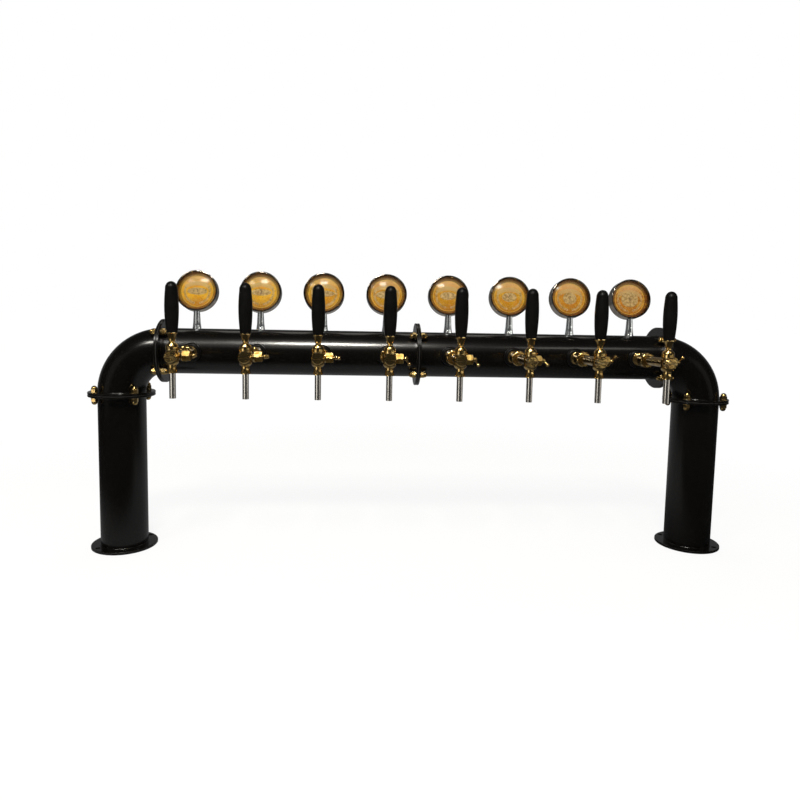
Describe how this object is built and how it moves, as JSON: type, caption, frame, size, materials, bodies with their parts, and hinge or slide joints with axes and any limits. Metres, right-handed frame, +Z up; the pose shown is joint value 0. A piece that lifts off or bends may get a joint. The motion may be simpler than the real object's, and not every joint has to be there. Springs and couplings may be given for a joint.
{
  "type": "beer tower",
  "caption": "Goalpost-shaped beer tower of flanged black tube with a row of brass taps, black tap handles and round badges on stems.",
  "frame": {"origin": "on the counter under the tower, midway between the axes of the two legs", "axes": "+X along the arms to the right of the person pouring, +Y away from that person, +Z up; the taps point to -Y"},
  "size_m": [1.472, 0.279, 0.6295],
  "materials": {
    "black_paint": "gloss",
    "brass": "polished",
    "chrome": "polished",
    "stainless": "satin",
    "black_plastic": "gloss",
    "badge_print": "gloss",
    "clear": "gloss",
    "gasket_rubber": "matte"
  },
  "bodies": {
    "tower": {"left_leg": "black_paint", "right_leg": "black_paint", "left_elbow": "black_paint", "right_elbow": "black_paint", "left_arm": "black_paint", "right_arm": "black_paint", "flange_gaskets": "gasket_rubber", "flange_studs": "stainless", "flange_cap_nuts": "brass", "tap_rosettes": "black_plastic", "tap_shanks": "brass", "shank_lock_nuts": "brass", "saddle_washers": "stainless", "coupling_nuts": "brass", "tap_bodies": "brass", "bonnet_nuts": "brass", "front_plugs": "brass", "spouts": "stainless", "flow_gland_nuts": "brass", "badge_stems": "chrome", "badge_stem_nuts": "stainless", "badge_housings": "chrome", "badge_rings": "chrome", "badge_faces": "badge_print", "badge_lenses": "clear"},
    "handle_1": {"tap_lever_1": "brass", "tap_handle_1": "black_plastic"},
    "piston_1": {"valve_piston_1": "stainless"},
    "flow_1": {"flow_lever_1": "brass"},
    "handle_2": {"tap_lever_2": "brass", "tap_handle_2": "black_plastic"},
    "piston_2": {"valve_piston_2": "stainless"},
    "flow_2": {"flow_lever_2": "brass"},
    "handle_3": {"tap_lever_3": "brass", "tap_handle_3": "black_plastic"},
    "piston_3": {"valve_piston_3": "stainless"},
    "flow_3": {"flow_lever_3": "brass"},
    "handle_4": {"tap_lever_4": "brass", "tap_handle_4": "black_plastic"},
    "piston_4": {"valve_piston_4": "stainless"},
    "flow_4": {"flow_lever_4": "brass"},
    "handle_5": {"tap_lever_5": "brass", "tap_handle_5": "black_plastic"},
    "piston_5": {"valve_piston_5": "stainless"},
    "flow_5": {"flow_lever_5": "brass"},
    "handle_6": {"tap_lever_6": "brass", "tap_handle_6": "black_plastic"},
    "piston_6": {"valve_piston_6": "stainless"},
    "flow_6": {"flow_lever_6": "brass"},
    "handle_7": {"tap_lever_7": "brass", "tap_handle_7": "black_plastic"},
    "piston_7": {"valve_piston_7": "stainless"},
    "flow_7": {"flow_lever_7": "brass"},
    "handle_8": {"tap_lever_8": "brass", "tap_handle_8": "black_plastic"},
    "piston_8": {"valve_piston_8": "stainless"},
    "flow_8": {"flow_lever_8": "brass"}
  },
  "joints": [
    {"name": "handle_1_pull", "type": "hinge", "parent": "tower", "child": "handle_1", "pos_m": [-0.497, -0.187, 0.4675], "axis": [1, 0, 0], "range_deg": [-12, 30]},
    {"name": "piston_1_slide", "type": "slide", "parent": "tower", "child": "piston_1", "axis": [0, 1, 0], "range_m": [-0.00338, 0.00844]},
    {"name": "flow_1_turn", "type": "hinge", "parent": "tower", "child": "flow_1", "pos_m": [-0.4625, -0.163, 0.448], "axis": [1, 0, 0], "range_deg": [-82, 98]},
    {"name": "handle_2_pull", "type": "hinge", "parent": "tower", "child": "handle_2", "pos_m": [-0.355, -0.187, 0.4675], "axis": [1, 0, 0], "range_deg": [-12, 30]},
    {"name": "piston_2_slide", "type": "slide", "parent": "tower", "child": "piston_2", "axis": [0, 1, 0], "range_m": [-0.00338, 0.00844]},
    {"name": "flow_2_turn", "type": "hinge", "parent": "tower", "child": "flow_2", "pos_m": [-0.3205, -0.163, 0.448], "axis": [1, 0, 0], "range_deg": [-86, 94]},
    {"name": "handle_3_pull", "type": "hinge", "parent": "tower", "child": "handle_3", "pos_m": [-0.213, -0.187, 0.4675], "axis": [1, 0, 0], "range_deg": [-12, 30]},
    {"name": "piston_3_slide", "type": "slide", "parent": "tower", "child": "piston_3", "axis": [0, 1, 0], "range_m": [-0.00338, 0.00844]},
    {"name": "flow_3_turn", "type": "hinge", "parent": "tower", "child": "flow_3", "pos_m": [-0.1785, -0.163, 0.448], "axis": [1, 0, 0], "range_deg": [-90, 90]},
    {"name": "handle_4_pull", "type": "hinge", "parent": "tower", "child": "handle_4", "pos_m": [-0.071, -0.187, 0.4675], "axis": [1, 0, 0], "range_deg": [-12, 30]},
    {"name": "piston_4_slide", "type": "slide", "parent": "tower", "child": "piston_4", "axis": [0, 1, 0], "range_m": [-0.00338, 0.00844]},
    {"name": "flow_4_turn", "type": "hinge", "parent": "tower", "child": "flow_4", "pos_m": [-0.0365, -0.163, 0.448], "axis": [1, 0, 0], "range_deg": [-170, 10]},
    {"name": "handle_5_pull", "type": "hinge", "parent": "tower", "child": "handle_5", "pos_m": [0.071, -0.187, 0.4675], "axis": [1, 0, 0], "range_deg": [-12, 30]},
    {"name": "piston_5_slide", "type": "slide", "parent": "tower", "child": "piston_5", "axis": [0, 1, 0], "range_m": [-0.00338, 0.00844]},
    {"name": "flow_5_turn", "type": "hinge", "parent": "tower", "child": "flow_5", "pos_m": [0.1055, -0.163, 0.448], "axis": [1, 0, 0], "range_deg": [-165, 15]},
    {"name": "handle_6_pull", "type": "hinge", "parent": "tower", "child": "handle_6", "pos_m": [0.213, -0.187, 0.4675], "axis": [1, 0, 0], "range_deg": [-12, 30]},
    {"name": "piston_6_slide", "type": "slide", "parent": "tower", "child": "piston_6", "axis": [0, 1, 0], "range_m": [-0.00338, 0.00844]},
    {"name": "flow_6_turn", "type": "hinge", "parent": "tower", "child": "flow_6", "pos_m": [0.2475, -0.163, 0.448], "axis": [1, 0, 0], "range_deg": [-135, 45]},
    {"name": "handle_7_pull", "type": "hinge", "parent": "tower", "child": "handle_7", "pos_m": [0.355, -0.187, 0.4675], "axis": [1, 0, 0], "range_deg": [-12, 30]},
    {"name": "piston_7_slide", "type": "slide", "parent": "tower", "child": "piston_7", "axis": [0, 1, 0], "range_m": [-0.00338, 0.00844]},
    {"name": "flow_7_turn", "type": "hinge", "parent": "tower", "child": "flow_7", "pos_m": [0.3895, -0.163, 0.448], "axis": [1, 0, 0], "range_deg": [-30, 150]},
    {"name": "handle_8_pull", "type": "hinge", "parent": "tower", "child": "handle_8", "pos_m": [0.497, -0.187, 0.4675], "axis": [1, 0, 0], "range_deg": [-12, 30]},
    {"name": "piston_8_slide", "type": "slide", "parent": "tower", "child": "piston_8", "axis": [0, 1, 0], "range_m": [-0.00338, 0.00844]},
    {"name": "flow_8_turn", "type": "hinge", "parent": "tower", "child": "flow_8", "pos_m": [0.5315, -0.163, 0.448], "axis": [1, 0, 0], "range_deg": [-30, 150]}
  ],
  "couplings": [
    {"joint": "piston_1_slide", "follows": "handle_1_pull", "m_per_rad": 0.0161},
    {"joint": "piston_2_slide", "follows": "handle_2_pull", "m_per_rad": 0.0161},
    {"joint": "piston_3_slide", "follows": "handle_3_pull", "m_per_rad": 0.0161},
    {"joint": "piston_4_slide", "follows": "handle_4_pull", "m_per_rad": 0.0161},
    {"joint": "piston_5_slide", "follows": "handle_5_pull", "m_per_rad": 0.0161},
    {"joint": "piston_6_slide", "follows": "handle_6_pull", "m_per_rad": 0.0161},
    {"joint": "piston_7_slide", "follows": "handle_7_pull", "m_per_rad": 0.0161},
    {"joint": "piston_8_slide", "follows": "handle_8_pull", "m_per_rad": 0.0161}
  ]
}
